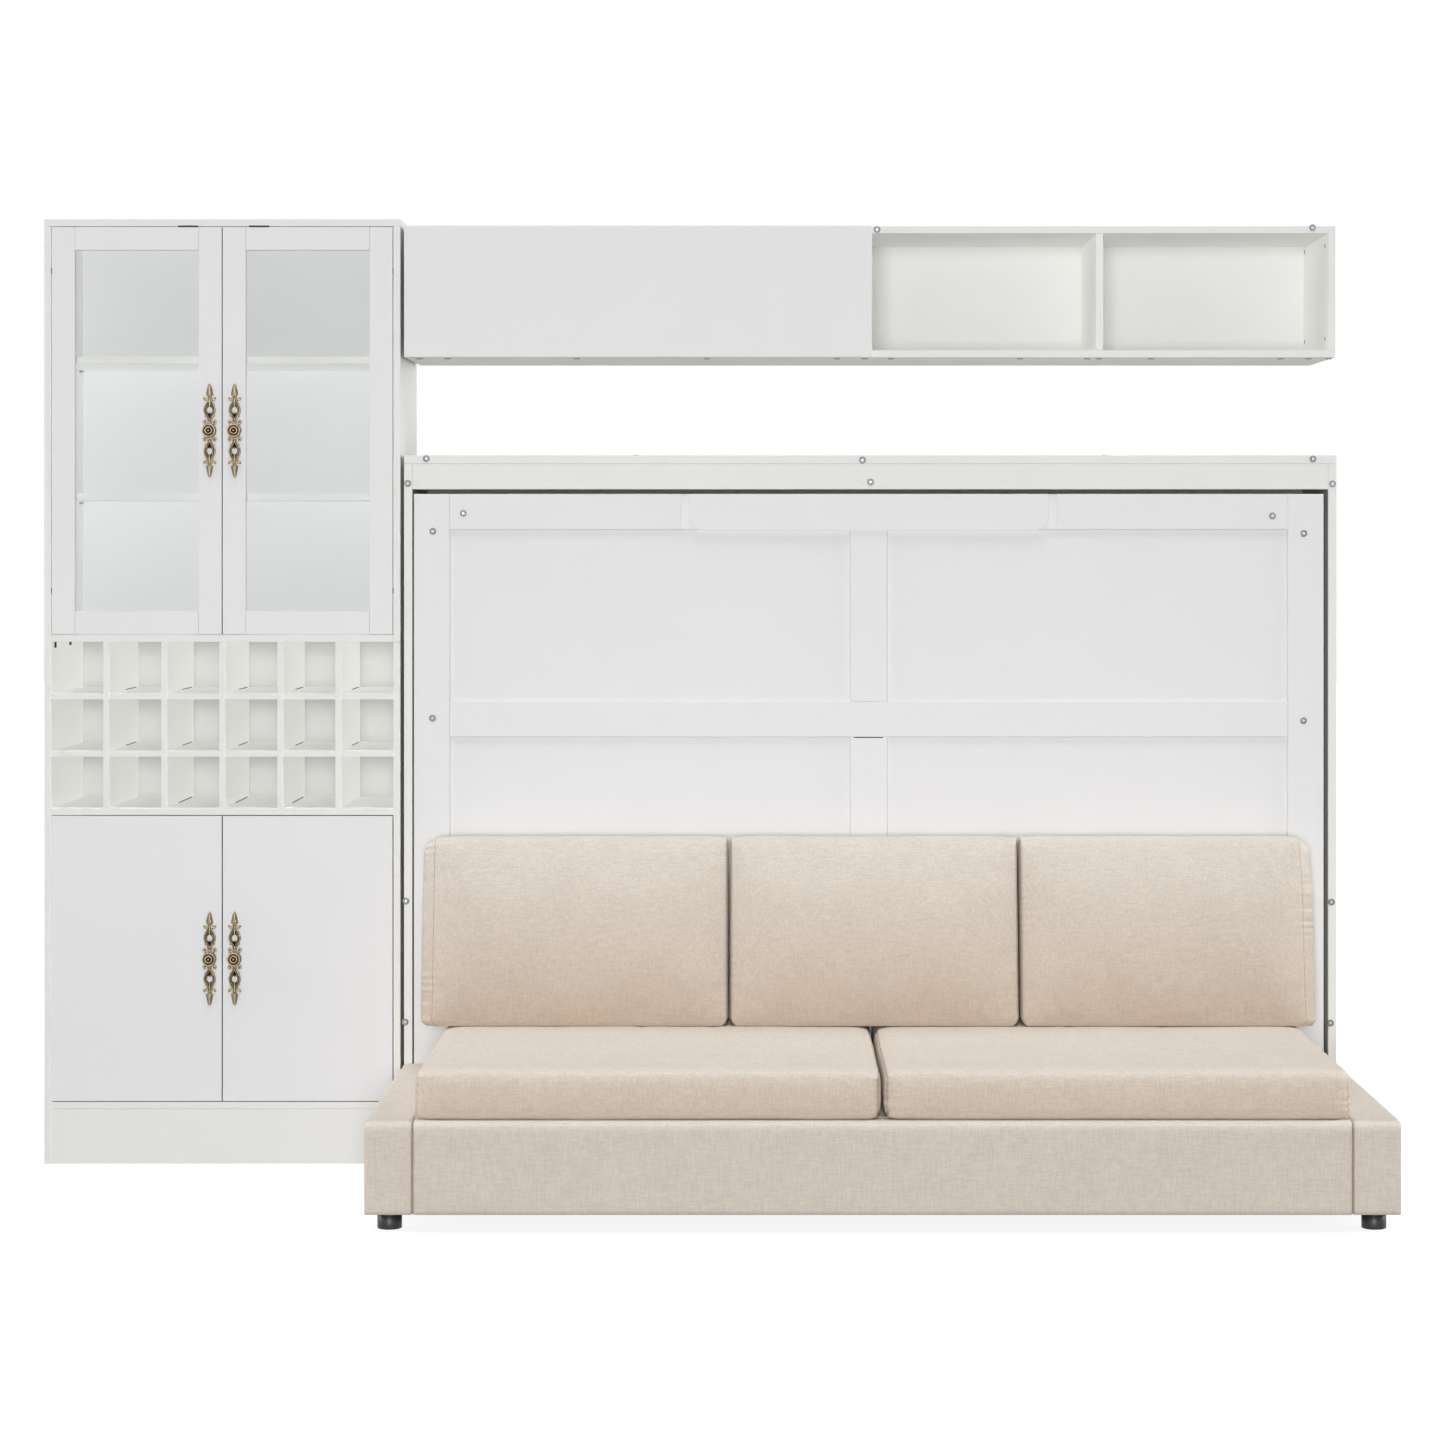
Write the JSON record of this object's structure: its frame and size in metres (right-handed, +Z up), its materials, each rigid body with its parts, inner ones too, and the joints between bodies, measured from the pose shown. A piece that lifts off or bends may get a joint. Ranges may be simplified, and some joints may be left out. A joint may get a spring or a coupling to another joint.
{
  "type": "wall bed with sofa",
  "caption": "Side-tilting wall bed in a white cabinet with a tall display cabinet, wine rack, wall shelf and an upholstered sofa in front.",
  "frame": {"origin": "middle of the whole set's box, on the floor", "axes": "+X to the right along the wall, -Y towards the room, +Z up"},
  "size_m": [2.819, 1.248, 2.06],
  "materials": {
    "white_laminate": "smooth white laminate on board, satin",
    "clear_glass": "clear float glass",
    "antique_brass": "antique brass, dark in the recesses",
    "sofa_upholstery": "woven linen-look upholstery, light greige",
    "cushion_fabric": "woven linen-look fabric, beige",
    "black_plastic": "black moulded plastic",
    "steel": "bright steel",
    "slat_wood": "bare pine slats"
  },
  "bodies": {
    "cabinets": {"tall_lower_side_left": "white_laminate", "tall_lower_side_right": "white_laminate", "tall_upper_side_left": "white_laminate", "tall_upper_side_right": "white_laminate", "tall_top_board": "white_laminate", "tall_middle_board": "white_laminate", "rack_floor_board": "white_laminate", "tall_base_board": "white_laminate", "kick_board": "white_laminate", "tall_lower_back": "white_laminate", "tall_upper_back": "white_laminate", "display_shelf_lower": "white_laminate", "display_shelf_upper": "white_laminate", "wine_rack_grid": "white_laminate", "bed_side_left": "white_laminate", "bed_side_right": "white_laminate", "bed_top_board": "white_laminate", "bed_header": "white_laminate", "bed_cabinet_back": "white_laminate", "wall_shelf_bottom": "white_laminate", "wall_shelf_top": "white_laminate", "wall_shelf_end_left": "white_laminate", "wall_shelf_partition": "white_laminate", "wall_shelf_divider": "white_laminate", "wall_shelf_end_right": "white_laminate", "wall_shelf_back": "white_laminate", "sofa_arm_left": "sofa_upholstery", "sofa_arm_right": "sofa_upholstery", "sofa_front_rail": "sofa_upholstery", "sofa_deck": "sofa_upholstery", "sofa_rear_rail": "sofa_upholstery", "sofa_foot_front_left": "black_plastic", "sofa_foot_front_right": "black_plastic", "sofa_foot_rear_left": "black_plastic", "sofa_foot_rear_right": "black_plastic"},
    "bed": {"bed_face_board": "white_laminate", "bed_face_frame": "white_laminate", "pull_board": "white_laminate", "bed_frame": "white_laminate", "slat_deck": "slat_wood"},
    "cushions": {"seat_cushion_left": "cushion_fabric", "seat_cushion_right": "cushion_fabric", "back_cushion_left": "cushion_fabric", "back_cushion_middle": "cushion_fabric", "back_cushion_right": "cushion_fabric"},
    "lower_left_door": {"lower_door_left": "white_laminate", "handle_lower_left": "antique_brass"},
    "lower_right_door": {"lower_door_right": "white_laminate", "handle_lower_right": "antique_brass"},
    "glass_left_door": {"glass_door_frame_left": "white_laminate", "glass_pane_left": "clear_glass", "handle_glass_left": "antique_brass"},
    "glass_right_door": {"glass_door_frame_right": "white_laminate", "glass_pane_right": "clear_glass", "handle_glass_right": "antique_brass"},
    "flap": {"flap_door": "white_laminate"},
    "left_strut_cylinder": {"strut_cylinder_left": "black_plastic"},
    "left_strut_rod": {"strut_rod_left": "steel"},
    "right_strut_cylinder": {"strut_cylinder_right": "black_plastic"},
    "right_strut_rod": {"strut_rod_right": "steel"}
  },
  "joints": [
    {"name": "bed_fold", "type": "hinge", "parent": "cabinets", "child": "bed", "pos_m": [0.3925, 0.321, 0.319], "axis": [1, 0, 0], "range_deg": [0, 90], "stiffness_Nm_per_rad": 94, "springref_deg": -49.73},
    {"name": "cushion_lift_off", "type": "slide", "parent": "cabinets", "child": "cushions", "axis": [0, -1, 0], "range_m": [0, 1.425]},
    {"name": "lower_left_door_hinge", "type": "hinge", "parent": "cabinets", "child": "lower_left_door", "pos_m": [-1.3925, 0.224, 0.4475], "axis": [0, 0, -1], "range_deg": [0, 100]},
    {"name": "lower_right_door_hinge", "type": "hinge", "parent": "cabinets", "child": "lower_right_door", "pos_m": [-0.6495, 0.224, 0.4475], "axis": [0, 0, 1], "range_deg": [0, 90]},
    {"name": "glass_left_door_hinge", "type": "hinge", "parent": "cabinets", "child": "glass_left_door", "pos_m": [-1.3925, 0.224, 1.599], "axis": [0, 0, -1], "range_deg": [0, 100]},
    {"name": "glass_right_door_hinge", "type": "hinge", "parent": "cabinets", "child": "glass_right_door", "pos_m": [-0.6495, 0.224, 1.599], "axis": [0, 0, 1], "range_deg": [0, 90]},
    {"name": "flap_hinge", "type": "hinge", "parent": "cabinets", "child": "flap", "pos_m": [-0.114, 0.239, 2.046], "axis": [-1, 0, 0], "range_deg": [0, 88]},
    {"name": "left_strut_swing", "type": "hinge", "parent": "cabinets", "child": "left_strut_cylinder", "pos_m": [-0.59475, 0.474, 0.88], "axis": [1, 0, 0], "range_deg": [0, 12.6]},
    {"name": "left_strut_slide", "type": "slide", "parent": "left_strut_cylinder", "child": "left_strut_rod", "axis": [0, 0.149, 0.9888], "range_m": [0, 0.2375]},
    {"name": "right_strut_swing", "type": "hinge", "parent": "cabinets", "child": "right_strut_cylinder", "pos_m": [1.37975, 0.474, 0.88], "axis": [1, 0, 0], "range_deg": [0, 12.6]},
    {"name": "right_strut_slide", "type": "slide", "parent": "right_strut_cylinder", "child": "right_strut_rod", "axis": [0, 0.149, 0.9888], "range_m": [0, 0.2375]}
  ],
  "couplings": [
    {"joint": "cushion_lift_off", "follows": "bed_fold", "m_per_rad": 0.904},
    {"joint": "left_strut_swing", "follows": "bed_fold", "ratio": 0.13912},
    {"joint": "left_strut_slide", "follows": "bed_fold", "m_per_rad": 0.15038},
    {"joint": "right_strut_swing", "follows": "bed_fold", "ratio": 0.13912},
    {"joint": "right_strut_slide", "follows": "bed_fold", "m_per_rad": 0.15038}
  ]
}
